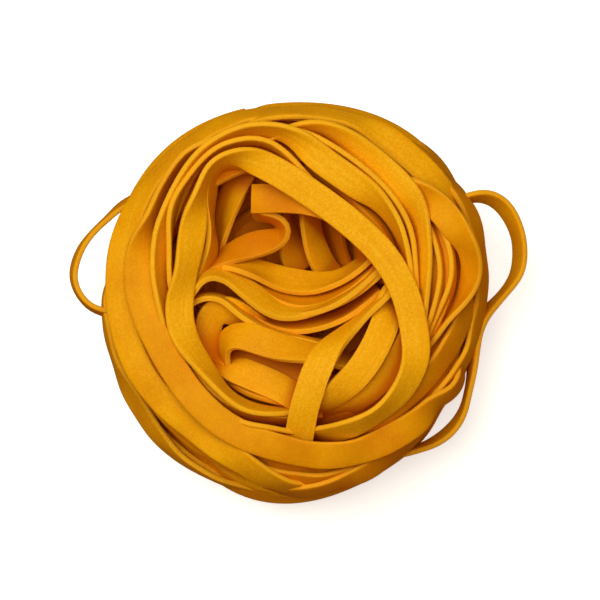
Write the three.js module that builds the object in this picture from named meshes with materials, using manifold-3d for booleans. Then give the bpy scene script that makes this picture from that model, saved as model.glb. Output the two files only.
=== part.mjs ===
// A dry pasta nest: flat egg-pasta ribbons wound into a round bundle with an open hollow in the
// middle, a few ribbons crossing the hollow, and three slack loops that stand out from the side.
// Dried, it holds together as one piece. Millimetres, +Z up, resting on z = 0, with the origin
// under the middle of the whole piece.
import * as THREE from "three";
import { mergeVertices } from "three/addons/utils/BufferGeometryUtils.js";
import Module from "manifold-3d";

const wasm = await Module();
wasm.setup();

// Driving dimensions.
const RIBBON_WIDTH = 5.4;
const RIBBON_THICKNESS = 1.2;
const BODY_RADIUS = 39.1; // mean reach of the nest at its widest level, loops left out
const WAIST_HEIGHT = 13; // level at which the nest is widest
const CREST_HEIGHT = 34.5; // top of the rim of wound ribbons
const CREST_RADIUS = 26;
const HOLLOW_RADIUS = 18.5; // the hollow's mouth
const HOLLOW_FLOOR = 14; // lowest level inside the hollow
const FOOT_RADIUS = 25; // the flat that it dried on
const HOLLOW_SHIFT = 3.5; // the hollow sits this far north of the nest's own middle
const FLOOR_RISE = 0.5; // rise of the hollow's floor for each millimetre towards the south

// The bundle isn't round: [waves round the nest, size in mm, bearing of a peak in degrees].
const OUTLINE_WAVES = [
  [1, 0.55, 73],
  [2, 1.24, 73],
  [3, 0.59, 44],
  [4, 0.46, 42],
  [5, 0.35, -27],
];

// How finely the surface is divided.
const TURNS = 17; // bands of ribbon from the foot over the crest to the hollow's floor
const BEARINGS = 72; // divisions round the nest
const SHINGLE = 1.1; // how far a band's outer edge stands over the next one
const STEP_LENGTH = 2.6; // along a ribbon of its own
const WELD = 1e-3; // corners closer than this are one corner

/** The nest's outline from the foot's rim, over the crest and down into the hollow, as (reach, height). */
function sectionCurve() {
  const foot = new THREE.Vector2(FOOT_RADIUS, 0);
  const underside = new THREE.Vector2(BODY_RADIUS - 5, 3.5);
  const waist = new THREE.Vector2(BODY_RADIUS - SHINGLE, WAIST_HEIGHT);
  const shoulder = new THREE.Vector2(BODY_RADIUS - 4.5, 0.5 * (WAIST_HEIGHT + CREST_HEIGHT) + 3);
  const crest = new THREE.Vector2(CREST_RADIUS, CREST_HEIGHT - SHINGLE);
  const lip = new THREE.Vector2(HOLLOW_RADIUS, CREST_HEIGHT - 5);
  const wall = new THREE.Vector2(HOLLOW_RADIUS - 4, 0.5 * (CREST_HEIGHT + HOLLOW_FLOOR) - 2);
  const floor = new THREE.Vector2(HOLLOW_RADIUS - 10, HOLLOW_FLOOR + 1);
  const middle = new THREE.Vector2(2, HOLLOW_FLOOR);
  return new THREE.SplineCurve([foot, underside, waist, shoulder, crest, lip, wall, floor, middle]);
}

/** How far beyond its mean reach the wound bundle goes at a bearing, in millimetres. */
function unevenness(bearing) {
  let sum = 0;
  for (const [waves, size, peak] of OUTLINE_WAVES) {
    sum += size * Math.cos(waves * (bearing - THREE.MathUtils.degToRad(peak)));
  }
  return sum;
}

/** Where a band's lower edge runs, as a share of the outline: each turn wanders up and down a little. */
function bandEdge(turn, bearing) {
  const share = turn / TURNS;
  const wander = 0.4 * Math.sin(bearing + 2.1 * turn) + 0.25 * Math.sin(2 * bearing - 1.3 * turn);
  const held = Math.sin(Math.PI * share); // the first and last edges stay put
  return THREE.MathUtils.clamp(share + (held * wander) / TURNS, 0, 1);
}

/** A point of the outline at a share of its length, pushed out and turned to its bearing. */
function surfacePoint(section, share, lift, bearing) {
  const point = section.getPointAt(share);
  const along = section.getTangentAt(share);
  const inward = THREE.MathUtils.smoothstep(share, 0.55, 0.8); // 0 outside, 1 in the hollow
  const outward = Math.sin(Math.PI * Math.min(1, share / 0.6)); // fullest at the waist
  const reach = point.x + lift * along.y + outward * unevenness(bearing);
  const x = reach * Math.cos(bearing);
  const y = reach * Math.sin(bearing) + inward * HOLLOW_SHIFT;
  const rise = inward * FLOOR_RISE * THREE.MathUtils.clamp(-y, -4, 14);
  return new THREE.Vector3(x, y, Math.max(0, point.y - lift * along.x + rise));
}

/** The wound bundle: a lathed blank whose rows follow the two edges of every band of ribbon. */
function bundleGeometry() {
  const section = sectionCurve();
  const rows = 2 * TURNS;
  const blank = [new THREE.Vector2(0, 0)];
  for (let row = 0; row < rows; row++) {
    blank.push(section.getPointAt(row / (rows - 1)));
  }
  blank.push(new THREE.Vector2(0, HOLLOW_FLOOR));
  const geometry = new THREE.LatheGeometry(blank, BEARINGS);
  const position = geometry.getAttribute("position");
  for (let spoke = 0; spoke <= BEARINGS; spoke++) {
    const bearing = ((spoke % BEARINGS) * 2 * Math.PI) / BEARINGS;
    const first = spoke * blank.length;
    for (let row = 0; row < rows; row++) {
      const upperEdge = row % 2 === 1;
      const share = bandEdge(Math.floor(row / 2) + (upperEdge ? 0.86 : 0), bearing);
      const point = surfacePoint(section, share, upperEdge ? SHINGLE : 0, bearing);
      position.setXYZ(first + row + 1, point.x, point.y, row === 0 ? 0 : point.z);
    }
    position.setXYZ(first, 0, 0, 0);
    position.setXYZ(first + blank.length - 1, 0, HOLLOW_SHIFT, HOLLOW_FLOOR);
  }
  return geometry;
}

/**
 * A length of ribbon along knots of [x, y, height of its middle, lean in degrees]. A lean of 0 is
 * flat and 90 is on edge; a positive lean raises the edge on the left of the way it runs.
 */
function ribbonGeometry(knots) {
  const places = knots.map(([x, y, z]) => new THREE.Vector3(x, y, z));
  const route = new THREE.CatmullRomCurve3(places, false, "centripetal");
  const steps = Math.ceil(route.getLength() / STEP_LENGTH);
  const up = new THREE.Vector3(0, 0, 1);
  const corners = [];
  for (let step = 0; step <= steps; step++) {
    const t = step / steps;
    const middle = route.getPoint(t);
    const along = route.getTangent(t);
    const knot = Math.min(Math.floor(t * (knots.length - 1)), knots.length - 2);
    const share = THREE.MathUtils.smoothstep(t * (knots.length - 1) - knot, 0, 1);
    const lean = THREE.MathUtils.degToRad(THREE.MathUtils.lerp(knots[knot][3], knots[knot + 1][3], share));
    const left = new THREE.Vector3().crossVectors(up, along).normalize();
    const across = left.clone().applyAxisAngle(along, -lean);
    const face = new THREE.Vector3().crossVectors(along, across);
    for (const [side, skin] of [[1, 1], [-1, 1], [-1, -1], [1, -1]]) {
      const corner = middle.clone().addScaledVector(across, (side * RIBBON_WIDTH) / 2);
      corners.push(corner.addScaledVector(face, (skin * RIBBON_THICKNESS) / 2));
    }
  }
  const triangles = [0, 2, 1, 0, 3, 2];
  for (let step = 0; step < steps; step++) {
    for (let side = 0; side < 4; side++) {
      const a = 4 * step + side;
      const b = 4 * step + ((side + 1) % 4);
      triangles.push(a, b, b + 4, a, b + 4, a + 4);
    }
  }
  const last = 4 * steps;
  triangles.push(last, last + 1, last + 2, last, last + 2, last + 3);
  const geometry = new THREE.BufferGeometry().setFromPoints(corners);
  geometry.setIndex(triangles);
  return geometry;
}

/** A slack loop on edge at a bearing: it leaves the bundle, bows out to its reach and goes back in. */
function looseLoop(bearing, halfSpan, reach, height) {
  const root = BODY_RADIUS - 8;
  const skin = BODY_RADIUS - 1;
  const bow = 0.35 * BODY_RADIUS + 0.65 * reach;
  return ribbonGeometry([
    [root, -halfSpan, height, 90],
    [skin, -halfSpan, height, 90],
    [bow, -0.75 * halfSpan, height, 90],
    [reach, 0, height, 90],
    [bow, 0.75 * halfSpan, height, 90],
    [skin, halfSpan, height, 90],
    [root, halfSpan, height, 90],
  ]).rotateZ(THREE.MathUtils.degToRad(bearing));
}

/** The ribbons that lie over the bundle or cross its hollow, each as its own knots. */
function crossingRibbons() {
  const top = CREST_HEIGHT + 1;
  const arch = [
    [-20, -9, top - 6, 20],
    [-22.5, 2, top - 3, 15],
    [-20.5, 16, top - 2, 35],
    [-16, 27.5, top - 1, 50],
    [-9, 28.5, top, 12],
    [3, 22, top, 8],
    [14, 13, top, 5],
    [21, 4, top, 10],
    [23, -9, top - 2, 15],
    [19.5, -19, top - 5, 60],
    [8, -25, top - 8, 70],
  ];
  const crossing = [
    [16.5, 1.5, top - 10, 0],
    [8, -7, top - 7, -5],
    [3, -16, top - 6, -5],
    [0, -27, top - 4, -5],
  ];
  const sweep = [
    [-21.5, 2.5, top - 9, 20],
    [-15, 5.5, top - 11, 25],
    [-7, 0, top - 11, 25],
    [1, -2, top - 12, 20],
    [13, 3.5, top - 10, 10],
    [20, 6.5, top - 8, 10],
  ];
  return [arch, crossing, sweep];
}

/** A closed manifold-3d solid from a three.js geometry. */
function solidFrom(geometry) {
  const bare = geometry.clone();
  bare.deleteAttribute("normal");
  bare.deleteAttribute("uv");
  const merged = mergeVertices(bare, WELD);
  const vertProperties = new Float32Array(merged.getAttribute("position").array);
  const triVerts = new Uint32Array(merged.index.array);
  return new wasm.Manifold(new wasm.Mesh({ numProp: 3, vertProperties, triVerts }));
}

/** The three.js geometry of a manifold-3d solid. */
function geometryFrom(solid) {
  const mesh = solid.getMesh();
  const geometry = new THREE.BufferGeometry();
  geometry.setAttribute("position", new THREE.BufferAttribute(mesh.vertProperties, 3));
  geometry.setIndex(new THREE.BufferAttribute(mesh.triVerts, 1));
  geometry.computeVertexNormals();
  return geometry;
}

/** The whole nest as one solid, centred over the origin and standing on z = 0. */
function nestGeometry() {
  const loops = [looseLoop(167, 12, 46.8, 14), looseLoop(15, 11, 47.8, 15), looseLoop(-34, 8.5, 41.6, 10)];
  let nest = solidFrom(bundleGeometry());
  for (const knots of crossingRibbons()) {
    nest = nest.add(solidFrom(ribbonGeometry(knots)));
  }
  for (const loop of loops) {
    nest = nest.add(solidFrom(loop));
  }
  const geometry = geometryFrom(nest);
  geometry.computeBoundingBox();
  const middle = geometry.boundingBox.getCenter(new THREE.Vector3());
  return geometry.translate(-middle.x, -middle.y, 0);
}

const eggPasta = new THREE.MeshStandardMaterial({ color: 0xf0a818, roughness: 0.75, metalness: 0 });
const nest = new THREE.Mesh(nestGeometry(), eggPasta);
nest.name = "pasta_nest";

const pastaNest = new THREE.Group();
pastaNest.add(nest);

export default pastaNest;
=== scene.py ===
"""A dry pasta nest: flat egg-pasta ribbons laid one over another round an open hollow.

Every ribbon is a flat strip that is bent along its own route, given the dough's thickness and
rounded at its cut edges. A route says where a ribbon runs, how wide it looks from above and how
high it lies, and each ribbon is then lifted just enough to lie on the ones laid before it.
"""

import logging
import math
from collections.abc import Iterator
from dataclasses import dataclass, field
from enum import Enum

import bpy
import numpy as np
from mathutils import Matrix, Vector


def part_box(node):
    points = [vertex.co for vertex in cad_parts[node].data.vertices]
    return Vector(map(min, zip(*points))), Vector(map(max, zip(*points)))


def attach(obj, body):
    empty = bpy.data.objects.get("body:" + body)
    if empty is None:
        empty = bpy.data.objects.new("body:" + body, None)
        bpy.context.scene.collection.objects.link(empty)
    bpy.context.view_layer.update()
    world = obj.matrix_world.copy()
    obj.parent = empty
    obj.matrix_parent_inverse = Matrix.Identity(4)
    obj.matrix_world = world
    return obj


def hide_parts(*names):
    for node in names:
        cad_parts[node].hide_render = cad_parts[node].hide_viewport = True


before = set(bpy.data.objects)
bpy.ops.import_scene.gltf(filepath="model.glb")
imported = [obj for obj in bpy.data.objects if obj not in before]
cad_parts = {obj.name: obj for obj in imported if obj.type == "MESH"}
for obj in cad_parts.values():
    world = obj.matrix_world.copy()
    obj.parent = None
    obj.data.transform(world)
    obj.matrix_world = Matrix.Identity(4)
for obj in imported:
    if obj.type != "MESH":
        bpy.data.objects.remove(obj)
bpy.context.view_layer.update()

NODE = "pasta_nest"
BODY = "root"
LOW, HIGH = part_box(NODE)
# The middle of the nest's underside, in metres: all that is laid is measured in mm from here.
BASE = Vector(((LOW.x + HIGH.x) / 2, (LOW.y + HIGH.y) / 2, LOW.z))

LOG = logging.getLogger("pasta_nest")
MM = 0.001
SEED = 7
WALL_SEED = SEED + 100
INNER_SEED = SEED + 200
FOOT_SEED = SEED + 300

RIBBON_WIDTH = 5.7
RIBBON_THICKNESS = 1.1
# A ribbon that looks wider than this lies nearly flat.
NEARLY_FLAT_WIDTH = 4.6
EDGE_ROUNDING = 0.36
EDGE_STEPS = 3
SHARP_ANGLE = 50

# How a route is smoothed, in mm along it: its line, its height, its lean and its lift.
SMOOTH_LINE = 1.0
SMOOTH_HEIGHT = 2.5
SMOOTH_LEAN = 2.2
SMOOTH_LIFT = 3.0
# How many steps a curve takes from knot to knot, and the fewest that a whole ribbon has.
CURVE_STEPS = 24
FEWEST_STEPS = 6
# How many points across a ribbon: on a wound turn's mesh, where it is checked against the pile,
# and where it is added to the pile.
WOUND_COLUMNS = 5
CHECKED_COLUMNS = 11
ADDED_COLUMNS = 19
# A ribbon sinks this far into what it crosses, is held up this far either side of it, and comes
# up this fast where it leaves the others, all in mm.
SINK = 0.25
HOLD_UP = 2.5
TUCK_RISE = 3.0
# A ribbon's small irregularities: how many waves, and the ranges that their lengths in mm, leans
# in degrees and heights in mm are drawn from.
WOBBLES = 3
WOBBLE_LENGTHS = (9, 26)
WOBBLE_LEANS = (1, 3)
WOBBLE_HEIGHTS = (0.03, 0.12)

# The bundle's mean outline: its middle, its mean reach and its waves
# (waves round it, size in mm, bearing of a peak in degrees).
BUNDLE_MIDDLE = (-1.6, 0.1)
BUNDLE_REACH = 39.3
OUTLINE_WAVES = ((1, 0.55, 73), (2, 1.24, 73), (3, 0.59, 44), (4, 0.46, 42), (5, 0.35, -27))

Knot = tuple[float, float, float, float]


def linear(hex_colour: str) -> tuple[float, float, float, float]:
    """Turn an sRGB hex colour into linear values.

    Args:
        hex_colour: six hex digits, with or without a leading #.

    Returns:
        Red, green, blue and an alpha of 1, linear.
    """
    digits = hex_colour.lstrip("#")
    parts = []
    for start in (0, 2, 4):
        level = int(digits[start : start + 2], 16) / 255
        parts.append(level / 12.92 if level <= 0.04045 else ((level + 0.055) / 1.055) ** 2.4)
    return (parts[0], parts[1], parts[2], 1.0)


def feed(node: bpy.types.Node, inputs: dict[str | int, object]) -> None:
    """Give a node's sockets their values and links.

    Args:
        node: the node.
        inputs: socket name or index to a value, or to the output socket that feeds it.
    """
    for key, value in inputs.items():
        if isinstance(value, bpy.types.NodeSocket):
            node.id_data.links.new(value, node.inputs[key])
        else:
            node.inputs[key].default_value = value


def add_node(
    tree: bpy.types.NodeTree,
    kind: str,
    inputs: dict[str | int, object] | None = None,
    **settings: object,
) -> bpy.types.Node:
    """Add a node with its settings, values and links.

    Args:
        tree: the node tree.
        kind: the node's type name.
        inputs: socket name or index to a value, or to the output socket that feeds it.
        settings: properties of the node.

    Returns:
        The new node.
    """
    node = tree.nodes.new(kind)
    for name, value in settings.items():
        setattr(node, name, value)
    feed(node, inputs or {})
    return node


def deselect() -> None:
    """Deselect every object, because an operator acts on all that is selected."""
    bpy.ops.object.select_all(action="DESELECT")


class Layer(Enum):
    """The pieces that the nest is laid in, lowest first."""

    WALL = "wall_turns"
    INNER = "inner_turns"
    FOOT = "foot_turns"
    OUTER = "outer_ribbons"
    LOOPS = "loose_loops"
    RIM = "rim_ribbons"
    HOLLOW = "hollow_ribbons"
    TOP = "top_ribbons"


# --------------------------------------------------------------------------------------------
# Finishes


@dataclass(frozen=True)
class Shades:
    """The steps that a material's colour is worked out in.

    Attributes:
        tree: the material's node tree.
    """

    tree: bpy.types.NodeTree

    def attribute(self, name: str) -> bpy.types.NodeSocket:
        """Read a value kept on the mesh, by its name."""
        return add_node(self.tree, "ShaderNodeAttribute", attribute_name=name).outputs["Fac"]

    def noise(
        self, place: bpy.types.NodeSocket, scale: float, detail: float, roughness: float = 0.5
    ) -> bpy.types.NodeSocket:
        """Give a noise over a place, with its scale, its detail and its roughness."""
        inputs = {"Vector": place, "Scale": scale, "Detail": detail, "Roughness": roughness}
        return add_node(self.tree, "ShaderNodeTexNoise", inputs).outputs["Fac"]

    def maths(self, operation: str, *values: object) -> bpy.types.NodeSocket:
        """Work out one operation on one or two values."""
        inputs = dict(enumerate(values))
        return add_node(self.tree, "ShaderNodeMath", inputs, operation=operation).outputs[0]

    def spread(
        self,
        value: bpy.types.NodeSocket,
        limits: tuple[float, float],
        to: tuple[float, float] = (0.0, 1.0),
        kind: str = "LINEAR",
    ) -> bpy.types.NodeSocket:
        """Stretch the part of a value between two limits over a new range.

        Args:
            value: the value.
            limits: where it starts and stops counting.
            to: what the two limits become, and what everything past them becomes.
            kind: how it runs between them.

        Returns:
            The stretched value.
        """
        inputs = {
            "Value": value,
            "From Min": limits[0],
            "From Max": limits[1],
            "To Min": to[0],
            "To Max": to[1],
        }
        node = add_node(self.tree, "ShaderNodeMapRange", inputs, interpolation_type=kind)
        return node.outputs[0]

    def mixed(
        self, share: bpy.types.NodeSocket, under: object, over: str
    ) -> bpy.types.NodeSocket:
        """Lay a hex colour over another colour by a share from 0 to 1."""
        inputs = {"Factor": share, 6: under, 7: linear(over)}
        return add_node(self.tree, "ShaderNodeMix", inputs, data_type="RGBA").outputs[2]


@dataclass(frozen=True)
class DriedEggDough:
    """Dried egg-pasta dough: semolina and egg, rolled, cut and air-dried.

    It gives a dull golden orange surface with a fine grain of semolina, faint streaks along the
    rolling direction, a dusting of flour in places, and paler cut edges. Part of its colour is
    painted light and shade: the tone that each ribbon is given, and a darker red-orange painted
    deep in the gaps between ribbons.

    Attributes:
        mottle_noise, grain_noise: the detail and the roughness of each noise.
        streaks_per_metre: how often a streak changes along the ribbon.
        tone_shift: how far apart the streaks of ribbons of different tone are taken.
        depth_limits: mottling and tone (partly painted light and shade) together, from the deep
            colour to the body's.
        flour_limits: streaks times grain, from bare to floury.
        dusted_tones: the tones from which, and at which fully, flour shows.
        speck_gains: how much the specks of grain darken and lighten the dough.
        rim_limits: share of the width off the middle where the paler edge starts and is full.
        painted_shade_limits: how deep in a gap the painted shade starts to darken the dough, and
            where it is darkest.
    """

    name: str = "dried egg pasta dough, rolled and cut"
    body: str = "#F2A502"
    # The colour of the lowest tones, which partly stand for shade.
    deep: str = "#D87902"
    edge: str = "#F8B428"
    floury: str = "#F8B822"
    # Painted shade: the darker red-orange laid on the dough deep in the gaps between ribbons.
    painted_shade_colour: str = "#D06C02"
    grain_mm: float = 0.45
    grain_noise: tuple[float, float] = (2.0, 0.6)
    mottle_mm: float = 7.0
    mottle_noise: tuple[float, float] = (3.0, 0.55)
    streak_mm: float = 0.9
    streak_detail: float = 2.0
    streaks_per_metre: float = 45.0
    tone_shift: float = 40.0
    depth_limits: tuple[float, float] = (0.4, 1.3)
    flour_limits: tuple[float, float] = (0.2, 0.42)
    most_flour: float = 0.75
    dusted_tones: tuple[float, float] = (0.35, 0.85)
    speck_limits: tuple[float, float] = (0.35, 0.65)
    speck_gains: tuple[float, float] = (0.94, 1.04)
    rim_limits: tuple[float, float] = (0.46, 0.5)
    most_rim: float = 0.4
    painted_shade_limits: tuple[float, float] = (0.1, 0.55)
    grain_height_mm: float = 0.14
    grain_relief: float = 0.4
    streak_height_mm: float = 0.1
    streak_relief: float = 0.3
    roughness: float = 0.62
    refraction: float = 1.45
    shine: float = 0.1

    def build(self) -> bpy.types.Material:
        """Build the material.

        Returns:
            The dough's material.
        """
        material = bpy.data.materials.new(self.name)
        material.use_nodes = True
        tree = material.node_tree
        shades = Shades(tree)
        place = add_node(tree, "ShaderNodeTexCoord").outputs["Object"]
        chart = add_node(tree, "ShaderNodeUVMap", uv_map="UVMap").outputs["UV"]
        across = add_node(tree, "ShaderNodeSeparateXYZ", {0: chart}).outputs["Y"]
        tone = shades.attribute("tone")
        mottle = shades.noise(place, 1 / (self.mottle_mm * MM), *self.mottle_noise)
        grain = shades.noise(place, 1 / (self.grain_mm * MM), *self.grain_noise)
        apart = add_node(tree, "ShaderNodeCombineXYZ", {"Z": tone}).outputs[0]
        lanes = add_node(
            tree, "ShaderNodeVectorMath", {0: chart, 1: apart}, operation="ADD"
        ).outputs[0]
        lane_scale = (self.streaks_per_metre, RIBBON_WIDTH / self.streak_mm, self.tone_shift)
        lanes = add_node(
            tree, "ShaderNodeMapping", {"Vector": lanes, "Scale": lane_scale}
        ).outputs[0]
        streaks = shades.noise(lanes, 1.0, self.streak_detail)

        # Tone is partly painted light and shade: deeper on ribbons that lie deep and in shade.
        depth = shades.spread(shades.maths("ADD", mottle, tone), self.depth_limits)
        colour = shades.mixed(depth, linear(self.deep), self.body)
        flour = shades.maths("MULTIPLY", streaks, grain)
        flour = shades.spread(flour, self.flour_limits, (0.0, self.most_flour))
        dusted = shades.spread(tone, self.dusted_tones)
        colour = shades.mixed(shades.maths("MULTIPLY", flour, dusted), colour, self.floury)
        speck = shades.spread(grain, self.speck_limits, self.speck_gains)
        colour = add_node(
            tree, "ShaderNodeVectorMath", {0: colour, "Scale": speck}, operation="SCALE"
        ).outputs[0]
        off_middle = shades.maths("ABSOLUTE", shades.maths("SUBTRACT", across, 0.5))
        rim = shades.spread(off_middle, self.rim_limits, (0.0, self.most_rim), "SMOOTHSTEP")
        colour = shades.mixed(rim, colour, self.edge)
        # Painted shade: the dough turns a darker red-orange where it lies deep below the ribbons
        # round it.
        painted_shade = shades.attribute("painted_shade")
        painted_shade = shades.spread(painted_shade, self.painted_shade_limits, kind="SMOOTHSTEP")
        colour = shades.mixed(painted_shade, colour, self.painted_shade_colour)

        fine = {
            "Height": grain,
            "Strength": self.grain_relief,
            "Distance": self.grain_height_mm * MM,
        }
        fine_bump = add_node(tree, "ShaderNodeBump", fine).outputs[0]
        wide = {
            "Height": streaks,
            "Strength": self.streak_relief,
            "Distance": self.streak_height_mm * MM,
            "Normal": fine_bump,
        }
        wide_bump = add_node(tree, "ShaderNodeBump", wide).outputs[0]
        look = {
            "Base Color": colour,
            "Normal": wide_bump,
            "Roughness": self.roughness,
            "IOR": self.refraction,
            "Specular IOR Level": self.shine,
        }
        feed(tree.nodes["Principled BSDF"], look)
        return material


@dataclass(frozen=True)
class PaintedFloor:
    """Matt white paint on a studio board, which shows as an even pale ground."""

    name: str = "matt white studio board"
    colour: str = "#FAFAFA"
    glow: float = 0.6
    roughness: float = 0.9
    shine: float = 0.1

    def build(self) -> bpy.types.Material:
        """Build the material.

        Returns:
            The board's material.
        """
        material = bpy.data.materials.new(self.name)
        material.use_nodes = True
        look = {
            "Base Color": linear(self.colour),
            "Roughness": self.roughness,
            "Specular IOR Level": self.shine,
            "Emission Color": linear(self.colour),
            "Emission Strength": self.glow,
        }
        feed(material.node_tree.nodes["Principled BSDF"], look)
        return material


# --------------------------------------------------------------------------------------------
# Ribbon geometry


def softened(values: np.ndarray, reach: float) -> np.ndarray:
    """Smooth a run of evenly spaced values, keeping its two ends.

    Args:
        values: one row for each station; fewer than four are left as they are.
        reach: the bell curve's standard deviation, in stations; a very small one does nothing.

    Returns:
        The smoothed run.
    """
    if reach < 0.3 or len(values) < 4:
        return values
    pad = min(len(values) - 1, int(3 * reach) + 1)
    weights = np.exp(-0.5 * (np.arange(-pad, pad + 1) / reach) ** 2)
    weights /= weights.sum()
    flat = values.reshape(len(values), -1)
    head = 2 * flat[0] - flat[pad:0:-1]
    tail = 2 * flat[-1] - flat[-2 : -pad - 2 : -1]
    long = np.vstack([head, flat, tail])
    smooth = [np.convolve(column, weights, mode="valid") for column in long.T]
    return np.column_stack(smooth).reshape(values.shape)


def ramp(value: np.ndarray, start: float, width: float) -> np.ndarray:
    """Rise evenly from 0 at a start to 1 a width further on.

    Args:
        value: the values to judge.
        start: where the rise starts.
        width: how long it is; a negative one rises towards smaller values.

    Returns:
        Shares from 0 to 1.
    """
    return np.clip((value - start) / width, 0.0, 1.0)


def run_along(points: np.ndarray) -> np.ndarray:
    """Give each point's distance along a line.

    Args:
        points: the line's points, in order.

    Returns:
        The distances, from 0.
    """
    steps = np.linalg.norm(np.diff(points, axis=0), axis=1)
    return np.concatenate([[0], np.cumsum(steps)])


def spline(points: np.ndarray, spacing: float) -> tuple[np.ndarray, np.ndarray]:
    """Run a smooth curve through points and divide it evenly.

    Args:
        points: x and y of each knot.
        spacing: distance between stations.

    Returns:
        The stations, and each station's place counted in knots.
    """
    gaps = np.maximum(np.linalg.norm(np.diff(points, axis=0), axis=1), 1e-6)
    times = np.concatenate([[0], np.cumsum(np.sqrt(gaps))])
    slopes = np.empty_like(points)
    slopes[1:-1] = (points[2:] - points[:-2]) / (times[2:] - times[:-2])[:, None]
    slopes[0] = (points[1] - points[0]) / (times[1] - times[0])
    slopes[-1] = (points[-1] - points[-2]) / (times[-1] - times[-2])
    fine = []
    places = []
    for k in range(len(points) - 1):
        step = times[k + 1] - times[k]
        u = np.linspace(0, 1, CURVE_STEPS, endpoint=k == len(points) - 2)[:, None]
        fine.append(
            (2 * u**3 - 3 * u**2 + 1) * points[k]
            + (u**3 - 2 * u**2 + u) * step * slopes[k]
            + (3 * u**2 - 2 * u**3) * points[k + 1]
            + (u**3 - u**2) * step * slopes[k + 1]
        )
        places.append(k + u[:, 0])
    curve = np.vstack(fine)
    run = run_along(curve)
    steps = max(FEWEST_STEPS, int(round(run[-1] / spacing)))
    even = np.linspace(0, run[-1], steps + 1)
    stations = np.column_stack([np.interp(even, run, column) for column in curve.T])
    return stations, np.interp(even, run, np.concatenate(places))


def ripple(
    angle: np.ndarray, rng: np.random.Generator, waves: tuple[tuple[float, int], ...]
) -> np.ndarray:
    """Add up waves round a turn, each with a random phase.

    Args:
        angle: bearings in radians.
        rng: where the phases are drawn from.
        waves: size, and number round the circle, of each wave.

    Returns:
        The sum at each bearing.
    """
    total = np.zeros_like(angle)
    for size, count in waves:
        total += size * np.sin(count * angle + rng.uniform(0, 6))
    return total


def lean_for(seen_width: float) -> float:
    """Work out how far a ribbon leans for it to look this wide from above.

    Args:
        seen_width: width from above in mm; a negative one raises the right-hand edge.

    Returns:
        The lean in degrees: 0 flat, 90 on edge, positive with the left-hand edge up.
    """
    diagonal = math.hypot(RIBBON_WIDTH, RIBBON_THICKNESS)
    corner = math.degrees(math.atan2(RIBBON_THICKNESS, RIBBON_WIDTH))
    width = abs(seen_width)
    lean = corner + math.degrees(math.acos(min(1.0, width / diagonal)))
    if width > NEARLY_FLAT_WIDTH:
        lean *= max(0.0, (RIBBON_WIDTH - width) / (RIBBON_WIDTH - NEARLY_FLAT_WIDTH))
    return math.copysign(lean, seen_width)


@dataclass
class Ribbon:
    """A ribbon laid in place: its mid-line, how it leans and how it is bowed across.

    Attributes:
        line: the middle of the ribbon at each station, in mm.
        lean: the lean at each station, in degrees.
        cup: how far its middle stands off the line between its edges, in mm.
        tone: at each station, 0 for a deeper dough colour and 1 for a paler one; partly painted
            light and shade.
        columns: how many points across its mesh has.
    """

    line: np.ndarray
    lean: np.ndarray
    cup: float
    tone: np.ndarray
    columns: int = 7

    def frames(self) -> tuple[np.ndarray, np.ndarray]:
        """Find the ribbon's across and face directions at each station.

        Returns:
            The unit directions across the ribbon and square to its face.
        """
        along = np.gradient(softened(self.line, 1.0), axis=0)
        along /= np.linalg.norm(along, axis=1)[:, None]
        left = np.cross([0.0, 0.0, 1.0], along)
        left /= np.maximum(np.linalg.norm(left, axis=1), 1e-9)[:, None]
        over = np.cross(along, left)
        turn = np.radians(self.lean)[:, None]
        across = left * np.cos(turn) + over * np.sin(turn)
        return across, np.cross(along, across)

    def surface(self, columns: int) -> np.ndarray:
        """Give points over the ribbon's mid-surface.

        Args:
            columns: how many points across.

        Returns:
            Points in mm, by station and column.
        """
        across, face = self.frames()
        share = np.linspace(-1, 1, columns)
        half = 0.5 * RIBBON_WIDTH
        bow = self.cup * (1 - share**2)
        return (
            self.line[:, None, :]
            + across[:, None, :] * (share * half)[None, :, None]
            + face[:, None, :] * bow[None, :, None]
        )


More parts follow.
